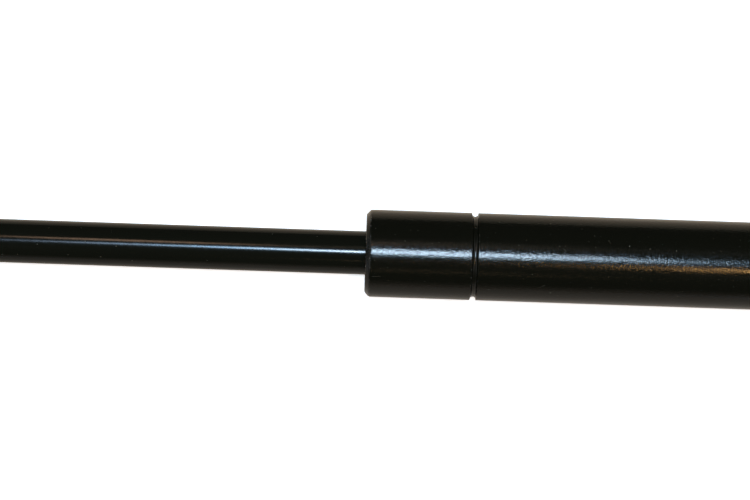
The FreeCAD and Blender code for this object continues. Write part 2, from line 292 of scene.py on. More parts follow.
tube_bore = tube_radius - tube_wall
lip_opening = tube_radius - lip_bevel - lip_face_width
inner_bevel = lip_bevel - tube_wall * (2 - math.sqrt(2))
tube_outline = rounded([
    (nose_face, lip_opening, lip_round),
    (nose_face, tube_radius - lip_bevel, lip_round),
    (nose_face + lip_bevel, tube_radius, lip_round),
    *rolled_groove(nose_groove),
    *rolled_groove(rear_groove),
    (rear_face - lip_bevel, tube_radius, lip_round),
    (rear_face, tube_radius - lip_bevel, lip_round),
    (rear_face, lip_opening, lip_round),
    (rear_face - tube_wall, lip_opening, 0),
    (rear_face - tube_wall, tube_bore - inner_bevel, 0),
    (rear_face - tube_wall - inner_bevel, tube_bore, 0),
    (nose_face + tube_wall + inner_bevel, tube_bore, 0),
    (nose_face + tube_wall, tube_bore - inner_bevel, 0),
    (nose_face + tube_wall, lip_opening, 0),
], closed=True)
tube = stand_for(turned("tube_skin", tube_outline, closed=True, columns=tube_columns), "pressure_tube")

# %% [markdown]
# Paint chips first where an edge sticks out. A mask says how sharp the outline is at each of its
# points, and the tube's mesh stores it, one number for each vertex, for its paint to read.

# %% Edge mask of the tube
def edge_mask(outline):
    """How sharp a closed outline is at each point, 1 on a tight outer corner and 0 elsewhere.

    It is the bend at the point over the mean length of its two sides, which is one over the
    radius there, times the radius below which a corner wears."""
    wear_radius, least_length = 1.1 * mm, 1e-9
    sides = np.diff(np.vstack([outline[-1:], outline, outline[:1]]), axis=0)
    headings = np.arctan2(sides[:, 1], sides[:, 0])
    bends = (np.diff(headings) + np.pi) % (2 * np.pi) - np.pi
    lengths = np.linalg.norm(sides, axis=1)
    following = np.roll(outline, -1, axis=0)
    area = np.sum(outline[:, 0] * following[:, 1] - following[:, 0] * outline[:, 1])
    sharpness = np.sign(area) * bends * 2 / np.maximum(lengths[1:] + lengths[:-1], least_length)
    return np.clip(sharpness * wear_radius, 0, 1)


edges = np.repeat(edge_mask(tube_outline), tube_columns).astype(np.float32)
tube.data.attributes.new("edge", "FLOAT", "POINT").data.foreach_set("value", edges)
print("sharp edges on", np.count_nonzero(edges > 0.5), "of", len(edges), "vertices of the tube")

# %% [markdown]
# The rod is ground, polished and nitrided, which turns the steel itself black. One end is threaded
# into a ball socket. The other carries the piston on a thinner stem, whose tip is riveted over to
# hold the stack of washers. The whole rod is made, because it slides out of sight when the strut
# closes.

# %% Piston rod
thread_radius = 5 * mm
thread_chamfer = 1 * mm
stem_radius = 5 * mm
rivet_radius = 6.2 * mm
rivet_chamfer = 1.25 * mm
shank_edge = 0.8 * mm
small_round = 0.15 * mm

rod_outline = rounded([
    (rod_low.x, 0, 0),
    (rod_low.x, thread_radius - thread_chamfer, small_round),
    (rod_low.x + thread_chamfer, thread_radius, small_round),
    (rod_shoulder, thread_radius, 0),
    (rod_shoulder, rod_radius - shank_edge, small_round),
    (rod_shoulder + shank_edge, rod_radius, 0.3 * mm),
    (piston_front, rod_radius, small_round),
    (piston_front, stem_radius, 0),
    (rivet_start, stem_radius, 0),
    (rivet_start, rivet_radius, small_round),
    (rod_high.x - rivet_chamfer, rivet_radius, 0.4 * mm),
    (rod_high.x, rivet_radius - rivet_chamfer, 0.3 * mm),
    (rod_high.x, 0, 0),
], closed=False)
rod = stand_for(turned("rod_skin", rod_outline, closed=False), "piston_rod")

# %% [markdown]
# Two more turned pieces can be seen at the nose. The brass guide is a narrow ring under the lip,
# and the wiper's tapered lip fills the space beside the rod.

# %% Guide and wiper
fit = 0.02 * mm
guide_low, guide_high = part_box("guide_bush")
liner_low, liner_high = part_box("guide_liner")
wiper_low, wiper_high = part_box("wiper_ring")
liner_radius = liner_high.z + fit
pocket_radius = wiper_high.z + fit

guide_outline = rounded([
    (guide_low.x, pocket_radius, 0.2 * mm),
    (guide_low.x, guide_high.z - inner_bevel, small_round),
    (guide_low.x + inner_bevel, guide_high.z, small_round),
    (guide_high.x, guide_high.z, small_round),
    (guide_high.x, liner_radius, small_round),
    (liner_low.x, liner_radius, 0),
    (liner_low.x, pocket_radius, 0),
], closed=True)
guide = stand_for(turned("guide_skin", guide_outline, closed=True), "guide_bush")

wiper_lip = 0.6 * mm
wiper_bore = rod_radius + 0.05 * mm
wiper_outline = rounded([
    (wiper_high.x, wiper_bore, 0),
    (wiper_high.x, wiper_high.z, 0),
    (guide_low.x, wiper_high.z, 0.3 * mm),
    (guide_low.x, wiper_bore + 2 * wiper_lip, 0.3 * mm),
    (wiper_low.x, wiper_bore + wiper_lip, 0.2 * mm),
    (wiper_low.x, wiper_bore, 0.1 * mm),
], closed=True)
wiper = stand_for(turned("wiper_skin", wiper_outline, closed=True), "wiper_ring")

# %% [markdown]
# At the other end a steel plug closes the tube, and a ball socket is screwed on its thread. The
# plug's outline also has the hollow that the rolled groove presses into it and the groove for its
# seal.

# %% End plug
plug_low, plug_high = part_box("end_plug")
plug_back = rear_face - tube_wall
boss_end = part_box("tube_end_socket")[0].x
boss_radius = 8 * mm
seal_middle = plug_low.x + 3.5 * mm
seal_half_width = 1.4 * mm
seal_floor = tube_bore - 2.22 * mm
ridge_radius = groove_depth + tube_wall + fit
ridge_start = math.asin((tube_radius - plug_high.z) / ridge_radius)
ridge_points = 14
ridge_hollow = [
    (rear_groove + ridge_radius * math.cos(angle), tube_radius + ridge_radius * math.sin(angle), 0)
    for angle in np.linspace(math.pi + ridge_start, 2 * math.pi - ridge_start, ridge_points)]

plug_outline = rounded([
    (plug_low.x, 0, 0),
    (plug_low.x, plug_high.z - inner_bevel, small_round),
    (plug_low.x + inner_bevel, plug_high.z, small_round),
    (seal_middle - seal_half_width, plug_high.z, small_round),
    (seal_middle - seal_half_width, seal_floor, 0),
    (seal_middle + seal_half_width, seal_floor, 0),
    (seal_middle + seal_half_width, plug_high.z, small_round),
    *ridge_hollow,
    (plug_back - inner_bevel, plug_high.z, small_round),
    (plug_back, plug_high.z - inner_bevel, small_round),
    (plug_back, boss_radius, small_round),
    (boss_end, boss_radius, small_round),
    (boss_end, thread_radius, 0),
    (plug_high.x - thread_chamfer, thread_radius, 0),
    (plug_high.x, thread_radius - thread_chamfer, 0),
    (plug_high.x, 0, 0),
], closed=False)
plug = stand_for(turned("plug_skin", plug_outline, closed=False), "end_plug")

# %% [markdown]
# A ball stud is one piece of steel: a ball on a neck, a hexagon for the spanner and an M10 thread.
# All of it is one grid about the stud's own line. In the rows of the hexagon the six flats limit
# the radius, so the cone that chamfers its corners cuts them by itself, as on a real nut. In the
# rows of the thread the radius follows a wave that moves on by one pitch in each turn.

# %% Hexagon and thread
hex_across_flats = 13 * mm
thread_pitch = 1.5 * mm
thread_start = 0.5 * mm
crest_share, slope_share = 0.14, 0.78


def flats_limit(angles):
    """Distance from a hexagon's middle to its side: half its width over the cosine of the angle
    from the middle of the nearest flat. A corner points along X, at angle 0."""
    off_flat = angles % (math.pi / 3) - math.pi / 6
    return hex_across_flats / 2 / np.cos(off_flat)


def thread_cut(heights, angles):
    """How deep the thread is cut, from 0 at its crest to 1 at its root.

    The place within a pitch is the height over the pitch less the share of a turn. A triangle
    wave of it is clipped for flat crests and smoothed for round roots. It fades in over a turn."""
    phase = (heights / thread_pitch - angles / (2 * np.pi)) % 1
    wave = np.clip((np.abs(2 * phase - 1) - crest_share) / slope_share, 0, 1)
    fade = np.clip((heights - thread_start) / thread_pitch, 0, 1)
    return wave * wave * (3 - 2 * wave) * fade


# %% [markdown]
# The outline of a stud runs from the ball over the neck, the hexagon and the shank to the chamfered
# tip. The thread needs many rows, so the shank is divided evenly all along.

# %% Outline of a ball stud
neck_radius = 4.75 * mm
hex_base = -5.5 * mm
rows_per_pitch, ball_rows = 14, 44


def stud_outline(low, high):
    """Outline of (height, radius) points for a stud whose node has that lowest and highest corner.

    The ball is an arc that ends where its radius is the neck's. Height 0 is the bracket face."""
    ball_radius = (high.x - low.x) / 2
    ball_turn = np.linspace(-math.pi / 2, math.acos(neck_radius / ball_radius), ball_rows)
    ball = [(line_y + ball_radius * math.sin(angle), ball_radius * math.cos(angle), 0)
            for angle in ball_turn]
    ball[0] = (low.y, 0, 0)
    corner_radius = hex_across_flats / math.sqrt(3)
    crown = (corner_radius - hex_across_flats / 2) / math.sqrt(3)
    below = rounded([
        *ball,
        (hex_base, neck_radius, 0.6 * mm),
        (hex_base, hex_across_flats / 2, small_round),
        (hex_base + crown, corner_radius, 0.25 * mm),
        (-crown, corner_radius, 0.25 * mm),
        (0, hex_across_flats / 2, small_round),
        (0, thread_radius, 0),
    ], closed=False)
    thread_end = high.y - thread_chamfer
    count = int((thread_end / thread_pitch) * rows_per_pitch)
    shank = np.stack([np.linspace(0, thread_end, count), np.full(count, thread_radius)], 1)[1:]
    tip = rounded([
        (thread_end, thread_radius, 0),
        (high.y, thread_radius - thread_chamfer, 0.2 * mm),
        (high.y, 0, 0),
    ], closed=False)
    cone = np.linspace(tip[0], tip[1], rows_per_pitch // 2)[1:-1]
    return np.vstack([below, shank, cone, tip[1:]])


# %% [markdown]
# The grid takes its radius from the outline, less what the flats and the thread cut away. Both cuts
# are whole arrays over heights and angles, so no loop runs over the points.

# %% Ball studs
thread_depth = 0.92 * mm
stud_columns = 120


def ball_stud(name, node):
    """Closed grid turned about a line along Y. Its radius is the outline's, but in the rows of the
    hexagon at most the flats' distance, and on the shank at most the thread's radius less its
    depth times the cut."""
    low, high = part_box(node)
    middle_x, outline = (low.x + high.x) / 2, stud_outline(low, high)
    angles = np.arange(stud_columns) / stud_columns * 2 * np.pi
    heights, radii = outline[:, :1], np.repeat(outline[:, 1:], stud_columns, 1)
    slack = 1e-9
    in_hexagon = (heights >= hex_base - slack) & (heights <= slack)
    radii = np.minimum(radii, np.where(in_hexagon, flats_limit(angles), radii))
    threaded = thread_radius - thread_depth * thread_cut(heights, angles)
    radii = np.minimum(radii, np.where(heights > 0, threaded, radii))
    grid = np.stack(np.broadcast_arrays(
        middle_x + radii * np.cos(angles), heights, radii * np.sin(angles)), -1)
    mesh = grid_mesh(name, grid, False, path_lengths(outline), 2 * np.pi * thread_radius)
    return stand_for(place(name, mesh), node)


studs = [ball_stud(end + "_stud_skin", end + "_ball_stud") for end in ("rod_end", "tube_end")]

# %% [markdown]
# A safety clip is a hairpin of spring wire, pushed into two slots beside the ball so that it can't
# leave its socket. It is a circle carried along a path: a straight leg, half a turn and the other
# leg. A curve with a bevel would do, but a grid also closes the cut ends with a small dome and
# brings a map for the wire's fine lines.

# %% Safety clips
tip_dome = 0.4
dome_points, leg_points, bow_points, wire_columns = 7, 12, 49, 28


def safety_clip(name, node, bow_side):
    """Round wire along a leg, round the bow and back, in a plane of constant y. Its circle spans Y
    and the way square to the path, and its radius falls to nothing over the rounded tips."""
    low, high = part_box(node)
    wire_radius = (high.y - low.y) / 2
    half_width = (high.z - low.z) / 2 - wire_radius
    tip_x, far_x = (low.x, high.x)[::bow_side]
    bow_x = far_x - bow_side * (half_width + wire_radius)
    leg_length = abs(bow_x - tip_x)

    dome = np.linspace(0, math.pi / 2, dome_points)
    dome_length = tip_dome * wire_radius
    dome_along, dome_radius = dome_length * (1 - np.cos(dome)), wire_radius * np.sin(dome)
    run = np.linspace(dome_length, leg_length, leg_points)[1:]
    turn = np.linspace(0, math.pi, bow_points)[1:-1]
    leg = np.append(dome_along, run)
    along_x = np.concatenate([leg - leg_length, half_width * np.sin(turn), leg[::-1] - leg_length])
    heading = np.concatenate([np.zeros(len(leg)), turn, np.full(len(leg), math.pi)])
    across_z = half_width * np.cos(heading)
    full_radius = np.full(len(run) + len(turn) + len(run), wire_radius)
    radii = np.concatenate([dome_radius, full_radius, dome_radius[::-1]])

    angles = np.arange(wire_columns) / wire_columns * 2 * np.pi
    outward = np.stack([np.sin(heading), np.cos(heading)], 1)
    ring_y, ring_out = radii[:, None] * np.sin(angles), radii[:, None] * np.cos(angles)
    x = bow_x + bow_side * (along_x[:, None] + ring_out * outward[:, :1])
    z = across_z[:, None] + ring_out * outward[:, 1:]
    grid = np.stack([x, (low.y + high.y) / 2 + ring_y, z], -1)
    path = np.stack([along_x, across_z], 1)
    mesh = grid_mesh(name, grid, False, path_lengths(path), 2 * np.pi * wire_radius)
    return stand_for(place(name, mesh), node)


clips = [safety_clip("rod_end_clip_skin", "rod_end_safety_clip", -1),
         safety_clip("tube_end_clip_skin", "tube_end_safety_clip", 1)]

# %% [markdown]
# The ball sockets are two turned bodies that cross, with a fillet where they meet and slots sawn
# through, so no single grid makes them. A copy of the CAD surface has its loose triangles joined,
# then a narrow bevel breaks the edges that are still sharp, as tumbling does before the parts are
# plated with zinc.

# %% Ball sockets
same_place, shortest_edge = 0.001 * mm, 0.005 * mm
bevel_width, sharp_angle = 0.12 * mm, math.radians(32)


def socket_skin(name, node):
    """Joined copy of a CAD node's surface with its sharp edges broken by a bevel modifier."""
    mesh = frame["nodes"][node].data.copy()
    mesh.name = name
    mesh.materials.clear()
    joined = bmesh.new()
    joined.from_mesh(mesh)
    bmesh.ops.remove_doubles(joined, verts=joined.verts, dist=same_place)
    bmesh.ops.dissolve_degenerate(joined, edges=joined.edges, dist=shortest_edge)
    joined.to_mesh(mesh)
    joined.free()
    mesh.shade_smooth()
    piece = place(name, mesh)
    bevel = piece.modifiers.new("broken edges", "BEVEL")
    bevel.width = bevel_width
    bevel.segments = 2
    bevel.limit_method = "ANGLE"
    bevel.angle_limit = sharp_angle
    bevel.harden_normals = True
    return stand_for(piece, node)


sockets = [socket_skin(end + "_socket_skin", end + "_socket") for end in ("rod_end", "tube_end")]

# %% [markdown]
# Now the finishes. Every material is a network of nodes, so a few helpers keep the cells short. One
# rule serves them all: a value that is another node's output becomes a link, and any other is set.

# %% Helpers for nodes
def connect(tree, socket, value):
    """Links the socket to a node's output, or sets it to a plain value. A colour gets its alpha."""
    if isinstance(value, bpy.types.NodeSocket):
        tree.links.new(value, socket)
    else:
        socket.default_value = (*value, 1) if socket.type == "RGBA" else value


def add(tree, kind, *in_order, **values):
    """Adds a shader node and returns its outputs. Values without a name go to its first inputs in
    order, one whose name is an input's goes there, and any other name is a property."""
    made = tree.nodes.new("ShaderNode" + kind)
    for socket, value in zip(made.inputs, in_order):
        connect(tree, socket, value)
    for word, value in values.items():
        label = word.replace("_", " ").title()
        if label in made.inputs:
            connect(tree, made.inputs[label], value)
        else:
            setattr(made, word, value)
    return made.outputs


def maths(tree, operation, *values, clamp=False):
    """Math node on links or numbers. Returns its output."""
    return add(tree, "Math", *values, operation=operation, use_clamp=clamp)[0]


# %% [markdown]
# A pattern is a noise or a distance that becomes a number or a colour in a known range. Noise
# keeps mostly between 0.3 and 0.7, so these are the usual limits of the range that it comes from.

# %% Helpers for tones and colours
def spread(tree, tone, low, high, tone_low=0.3, tone_high=0.7, **values):
    """Goes from low to high as the tone goes from tone_low to tone_high."""
    return add(tree, "MapRange", value=tone, from_min=tone_low, from_max=tone_high,
               to_min=low, to_max=high, **values)["Result"]


def soft_step(tree, value, start, full):
    """Rises smoothly from 0 at start to 1 at full."""
    return spread(tree, value, 0, 1, start, full, interpolation_type="SMOOTHSTEP")


def noise(tree, place_on, size, detail, roughness):
    """Noise whose features have that size, a length or a link to one."""
    per_metre = maths(tree, "DIVIDE", 1.0, size)
    waves = add(tree, "TexNoise", vector=place_on, scale=per_metre, detail=detail, roughness=roughness)
    return waves["Fac"]


def tint(tree, mask, first, second):
    """Colour between two, by a mask. A Mix node's inputs 6 and 7 and its output 2 are colours."""
    blend = tree.nodes.new("ShaderNodeMix")
    blend.data_type = "RGBA"
    for index, value in ((0, mask), (6, first), (7, second)):
        connect(tree, blend.inputs[index], value)
    return blend.outputs[2]


# %% [markdown]
# An effect that several finishes share, such as specks of dust, is built once as a group of nodes
# with named inputs and outputs. Copies of its nodes in each material would work as well, but a
# group is changed in one place, and each material only gives it its own sizes.

# %% Helpers for groups of nodes
def effect(name, vector, *numbers):
    """Turns a recipe, a function that takes a tree and its inputs and returns named results, into
    a node group with one vector input, number inputs and a number output for each result."""
    def build(recipe):
        """Makes the group's sockets, then lets the recipe fill it."""
        group = bpy.data.node_groups.new(name, "ShaderNodeTree")
        group.interface.new_socket(vector, in_out="INPUT", socket_type="NodeSocketVector")
        for label in numbers:
            group.interface.new_socket(label, in_out="INPUT", socket_type="NodeSocketFloat")
        results = recipe(group, group.nodes.new("NodeGroupInput").outputs)
        for label in results:
            group.interface.new_socket(label, in_out="OUTPUT", socket_type="NodeSocketFloat")
        outputs = group.nodes.new("NodeGroupOutput").inputs
        for label, value in results.items():
            connect(group, outputs[label], value)
        return group
    return build


def use_group(tree, group, **values):
    """Places a group in a material with a link or a number for each of its inputs."""
    made = tree.nodes.new("ShaderNodeGroup")
    made.node_tree = group
    for word, value in values.items():
        connect(tree, made.inputs[word.replace("_", " ")], value)
    return made.outputs


# %% [markdown]
# Paint that is sprayed and baked has a fine grain, called orange peel, of about half a millimetre.
# In the photograph it breaks the window's reflection on the tube into sparkles. Two noises, one
# fine and one four times as coarse, add up to a height, which suits a Bump node. The coarse one
# alone is the tone, for slow changes of gloss or colour, like the clouds that plating has.

# %% Effect: grain
@effect("grain", "place", "grain size", "coarse share")
def grain(tree, inputs):
    """Height = fine noise + coarse noise * its share, where the coarse one is four times as large."""
    fine = noise(tree, inputs["place"], inputs["grain size"], detail=1.0, roughness=0.5)
    coarse_size = maths(tree, "MULTIPLY", inputs["grain size"], 4.0)
    coarse = noise(tree, inputs["place"], coarse_size, detail=2.0, roughness=0.5)
    waves = maths(tree, "MULTIPLY", coarse, inputs["coarse share"])
    return {"height": maths(tree, "ADD", fine, waves), "tone": coarse}


# %% [markdown]
# Dust shows on black as pale specks a tenth or two of a millimetre across. A Voronoi pattern puts
# one point in each cell, and a speck is where the distance to it is small. The pattern is laid on
# the flat map, so that each point is sure to lie on the surface, and its random colour decides how
# large each speck is and which cells have none. Hairline scratches use the same cells: one is where
# we are close to a line through the cell's point, turned by the random colour, and not far along
# it.

# %% Effects: specks of dust and hairline scratches
def scattered_cells(tree, inputs):
    """Voronoi cells on the map. Returns their outputs, their random colour's channels and a mask
    that is 1 in the share of the cells that is chosen."""
    per_metre = maths(tree, "DIVIDE", 1.0, inputs["spacing"])
    cells = add(tree, "TexVoronoi", voronoi_dimensions="2D", vector=inputs["map"], scale=per_metre)
    chance = add(tree, "SeparateColor", color=cells["Color"])
    return cells, chance, maths(tree, "LESS_THAN", chance["Red"], inputs["share"])


@effect("specks", "map", "spacing", "radius", "share")
def specks(tree, inputs):
    """Mask = 1 where the distance to the cell's point, in metres, is under the speck's radius."""
    cells, chance, chosen = scattered_cells(tree, inputs)
    distance = maths(tree, "MULTIPLY", cells["Distance"], inputs["spacing"])
    size = maths(tree, "MULTIPLY", inputs["radius"], chance["Green"])
    near = maths(tree, "LESS_THAN", distance, size)
    return {"mask": maths(tree, "MULTIPLY", near, chosen)}


@effect("scratches", "map", "spacing", "length", "width", "share")
def scratches(tree, inputs):
    """Mask = 1 where the offset from the cell's point, turned by the cell's own angle, is less than
    half the scratch's length along it and less than half its width across it."""
    cells, chance, chosen = scattered_cells(tree, inputs)
    offset = add(tree, "VectorMath", inputs["map"], cells["Position"], operation="SUBTRACT")["Vector"]
    angle = maths(tree, "MULTIPLY", chance["Green"], math.pi)
    turned_offset = add(tree, "VectorRotate", rotation_type="Z_AXIS", vector=offset, angle=angle)["Vector"]
    parts = add(tree, "SeparateXYZ", vector=turned_offset)
    own_length = maths(tree, "MULTIPLY", inputs["length"], chance["Blue"])
    mask = chosen
    for part, size in ((parts["X"], own_length), (parts["Y"], inputs["width"])):
        twice = maths(tree, "MULTIPLY", maths(tree, "ABSOLUTE", part), 2.0)
        mask = maths(tree, "MULTIPLY", mask, maths(tree, "LESS_THAN", twice, size))
    return {"mask": mask}


# %% [markdown]
# Edges lose their coating first, so a chip is where the edge mask, roughened by noise, passes a
# limit. A high limit leaves only a few bright nicks, which is what the photograph shows round the
# nose of the tube.

# %% Effect: chipped edges
@effect("chips", "place", "edge", "chip size", "limit")
def chips(tree, inputs):
    """Mask = (edge * (noise + lift) - limit) * slope, held between 0 and 1."""
    noise_lift, border_slope = 0.4, 25.0
    rough = noise(tree, inputs["place"], inputs["chip size"], detail=3.0, roughness=0.7)
    rough_edge = maths(tree, "MULTIPLY", maths(tree, "ADD", rough, noise_lift), inputs["edge"])
    over = maths(tree, "SUBTRACT", rough_edge, inputs["limit"])
    return {"mask": maths(tree, "MULTIPLY", over, border_slope, clamp=True)}


# %% [markdown]
# A tool leaves lines that all run one way: round a turned piece, or along a drawn or polished one.
# Noise that is stretched far more one way than the other gives such lines. The two sizes are a
# line's extent round the piece and along it.

# %% Effect: tool lines
@effect("tool lines", "map", "size round", "size along")
def tool_lines(tree, inputs):
    """Height = noise of (x / first size, y / second size), so the larger size is the lines' length."""
    parts = add(tree, "SeparateXYZ", vector=inputs["map"])
    stretched = add(tree, "CombineXYZ",
                    maths(tree, "DIVIDE", parts["X"], inputs["size round"]),
                    maths(tree, "DIVIDE", parts["Y"], inputs["size along"]))["Vector"]
    lines = add(tree, "TexNoise", noise_dimensions="2D", vector=stretched,
                scale=1.0, detail=2.0, roughness=0.6)
    return {"height": lines["Fac"]}


# %% [markdown]
# Each finish is made by its own function, which starts from the Principled shader and the object
# coordinates. Values that are the same all over are set on the shader's own sockets. The others
# come from the effects above, through a range that says how far they may stray. The CAD surfaces
# have no map, so lathe lines follow the distance from a line there.

# %% Helpers for finishes
finishes = {}


def start_finish(name, color, roughness, **sockets):
    """New finish with plain values. Returns its node tree, its shader's inputs and the place on it."""
    material = finishes[name] = bpy.data.materials.new(name)
    material.use_nodes = True
    tree = material.node_tree
    shader = tree.nodes["Principled BSDF"].inputs
    for label, value in {"Base Color": color, "Roughness": roughness, **sockets}.items():
        connect(tree, shader[label], value)
    return tree, shader, add(tree, "TexCoord")["Object"]


def wrap_map(tree):
    """The map that grid_mesh lays round a piece and along its outline, in metres."""
    return add(tree, "UVMap", uv_map="wrap")["UV"]


def from_line(tree, place_on, shift, across):
    """Distance from a line: the length of the shifted place, with only its parts across the line."""
    shifted = add(tree, "Mapping", vector=place_on, location=shift, scale=across)["Vector"]
    return add(tree, "VectorMath", shifted, operation="LENGTH")["Value"]


def bump(tree, shader, *layers):
    """Lays bumps over each other. A height of 1 stands for the layer's depth in metres."""
    below = {}
    for height, depth in layers:
        below["normal"] = add(tree, "Bump", height=height, strength=1.0, distance=depth, **below)["Normal"]
    connect(tree, shader["Normal"], below["normal"])


# %% [markdown]
# The tube's paint is a semi-gloss black. Most of what we see on it is reflection: the sheet at its
# rims and the window as a streak. A bump alone blurs the streak evenly, so the gloss follows the
# same fine grain and makes it sparkle. Dust and a few faint scratches lie on the paint, and where
# the edge mask is highest, round the nose and the groove, chips show bare steel.

# %% Finish: tube paint
def tube_paint():
    """Black semi-gloss paint with orange peel, dust, hairline scratches and chipped edges."""
    black, dust_color, bare_steel = (0.0038, 0.0037, 0.0020), (0.20, 0.17, 0.12), (0.45, 0.46, 0.47)
    hairline_strength, dust_roughness = 0.4, 0.7
    tree, shader, place_on = start_finish("tube_paint", black, 0.10, IOR=1.34)
    wrap = wrap_map(tree)
    edge = add(tree, "Attribute", attribute_name="edge")["Fac"]
    peel = use_group(tree, grain, place=place_on, grain_size=0.5 * mm, coarse_share=0.08)["height"]
    nicks = use_group(tree, chips, place=place_on, edge=edge, chip_size=0.7 * mm, limit=1.02)["mask"]
    dust = use_group(tree, specks, map=wrap, spacing=8 * mm, radius=0.13 * mm, share=0.4)["mask"]
    fine_dust = use_group(tree, specks, map=wrap, spacing=2.2 * mm, radius=0.065 * mm, share=0.3)["mask"]
    hairlines = use_group(tree, scratches, map=wrap, spacing=14 * mm, length=2.8 * mm, width=0.05 * mm,
                          share=0.4)["mask"]
    faint_hairlines = maths(tree, "MULTIPLY", hairlines, hairline_strength)
    all_dust = maths(tree, "MAXIMUM", maths(tree, "MAXIMUM", dust, fine_dust), faint_hairlines)
    dusty = tint(tree, all_dust, black, dust_color)
    connect(tree, shader["Base Color"], tint(tree, nicks, dusty, bare_steel))
    connect(tree, shader["Metallic"], nicks)
    gloss = spread(tree, peel, 0.05, 0.21)
    dull = maths(tree, "MULTIPLY", all_dust, dust_roughness)
    connect(tree, shader["Roughness"], maths(tree, "MAXIMUM", gloss, dull))
    bump(tree, shader, (peel, 0.046 * mm))


# %% [markdown]
# Nitrided steel is black through and through and smoother than paint, so its streak is narrow and
# clean. Lengthwise polishing leaves very fine lines, which draw the streak out along the rod.

# %% Finish: nitrided rod
def nitrided_rod():
    """Black polished steel with fine lengthwise lines and a little dust."""
    black, dust_color = (0.0048, 0.0048, 0.0028), (0.18, 0.16, 0.12)
    tree, shader, place_on = start_finish("nitrided_rod", black, 0.12, IOR=1.3)
    wrap = wrap_map(tree)
    lines = use_group(tree, tool_lines, map=wrap, size_round=0.1 * mm, size_along=9 * mm)["height"]
    skin = use_group(tree, grain, place=place_on, grain_size=0.35 * mm, coarse_share=0.4)
    dust = use_group(tree, specks, map=wrap, spacing=5 * mm, radius=0.11 * mm, share=0.35)["mask"]
    connect(tree, shader["Base Color"], tint(tree, dust, black, dust_color))
    connect(tree, shader["Roughness"], spread(tree, skin["tone"], 0.11, 0.16))
    bump(tree, shader, (lines, 0.0014 * mm), (skin["height"], 0.006 * mm))


# %% [markdown]
# The fittings are plated with zinc. It is bright with a faint blue cast, and fine lines from the
# lathe show through it. On the ball studs these lines follow the map. On the sockets they follow
# the distance from the ball's own line, which gives rings on the flat faces and hoops round the
# shank.

# %% Finishes: zinc plating and spring wire
cloud_low, cloud_high = 0.35, 0.65


def zinc_plate(name, ball_x=None):
    """Bright zinc with turning lines, cloudy gloss and a slight change of tint. The lines follow
    the map, or the distance from a ball's line where its x is given."""
    bluish, neutral = (0.54, 0.57, 0.62), (0.66, 0.66, 0.66)
    tree, shader, place_on = start_finish(name, (0.60, 0.62, 0.65), 0.26, Metallic=1.0)
    if ball_x is None:
        line_place = wrap_map(tree)
    else:
        reach = from_line(tree, place_on, (-ball_x, 0, 0), (1, 0, 1))
        line_place = add(tree, "CombineXYZ", y=reach)["Vector"]
    lines = use_group(tree, tool_lines, map=line_place, size_round=30 * mm, size_along=0.16 * mm)["height"]
    clouds = use_group(tree, grain, place=place_on, grain_size=1.1 * mm, coarse_share=1.0)
    cast = spread(tree, clouds["tone"], 0, 1, cloud_low, cloud_high)
    connect(tree, shader["Base Color"], tint(tree, cast, bluish, neutral))
    connect(tree, shader["Roughness"], spread(tree, clouds["tone"], 0.20, 0.34))
    bump(tree, shader, (lines, 0.004 * mm), (clouds["height"], 0.004 * mm))


def spring_wire():
    """Zinc-plated wire with the lengthwise lines that its die leaves."""
    tree, shader, place_on = start_finish("spring_wire", (0.56, 0.58, 0.60), 0.24, Metallic=1.0)
    wrap = wrap_map(tree)
    lines = use_group(tree, tool_lines, map=wrap, size_round=0.09 * mm, size_along=6 * mm)["height"]
    clouds = use_group(tree, grain, place=place_on, grain_size=0.8 * mm, coarse_share=1.0)
    connect(tree, shader["Roughness"], spread(tree, clouds["tone"], 0.18, 0.32))
    bump(tree, shader, (lines, 0.004 * mm))


# %% [markdown]
# Most pieces inside the tube keep the CAD surface. Metals there are turned or stamped and lie in
# oil, so their lines are soft and their gloss is patchy. Rubber and plastic are duller, with the
# fine texture of the mould.

# %% Finishes: inner metals and mouldings
def turned_metal(name, color, worn_color, roughness):
    """Turned or stamped metal: rings about the strut's line, cloudy colour and patchy oil."""
    oily, dry = roughness - 0.08, roughness + 0.10
    tree, shader, place_on = start_finish(name, color, roughness, Metallic=1.0)
    reach = from_line(tree, place_on, (0, -line_y, 0), (0, 1, 1))
    station = add(tree, "SeparateXYZ", vector=place_on)["X"]
    rings = add(tree, "CombineXYZ", y=maths(tree, "ADD", reach, station))["Vector"]
    lines = use_group(tree, tool_lines, map=rings, size_round=20 * mm, size_along=0.2 * mm)["height"]
    clouds = use_group(tree, grain, place=place_on, grain_size=1.5 * mm, coarse_share=1.0)
    patch = spread(tree, clouds["tone"], 0, 1, cloud_low, cloud_high)
    connect(tree, shader["Base Color"], tint(tree, patch, color, worn_color))
    connect(tree, shader["Roughness"], spread(tree, clouds["tone"], oily, dry))
    bump(tree, shader, (lines, 0.006 * mm))


def moulding(name, color, second_color, roughness, texture, depth):
    """Moulded rubber or plastic: fine texture, slightly uneven colour and gloss."""
    glossy, dull = roughness - 0.07, roughness + 0.07
    tree, shader, place_on = start_finish(name, color, roughness)
    skin = use_group(tree, grain, place=place_on, grain_size=texture, coarse_share=0.8)
    patch = spread(tree, skin["tone"], 0, 1)
    connect(tree, shader["Base Color"], tint(tree, patch, color, second_color))
    connect(tree, shader["Roughness"], spread(tree, skin["tone"], glossy, dull))
    bump(tree, shader, (skin["height"], depth))


# %% [markdown]
# The record says which finish each node has, and each new piece remembers that of the node it
# stands for. So short loops dress everything, and a finish that was forgotten would stop the
# script with its name. Each socket has a zinc of its own, whose lines run round its ball. The
# tables give each metal its colour, its worn colour and its roughness, and each moulding also the
# size and the depth of its texture.

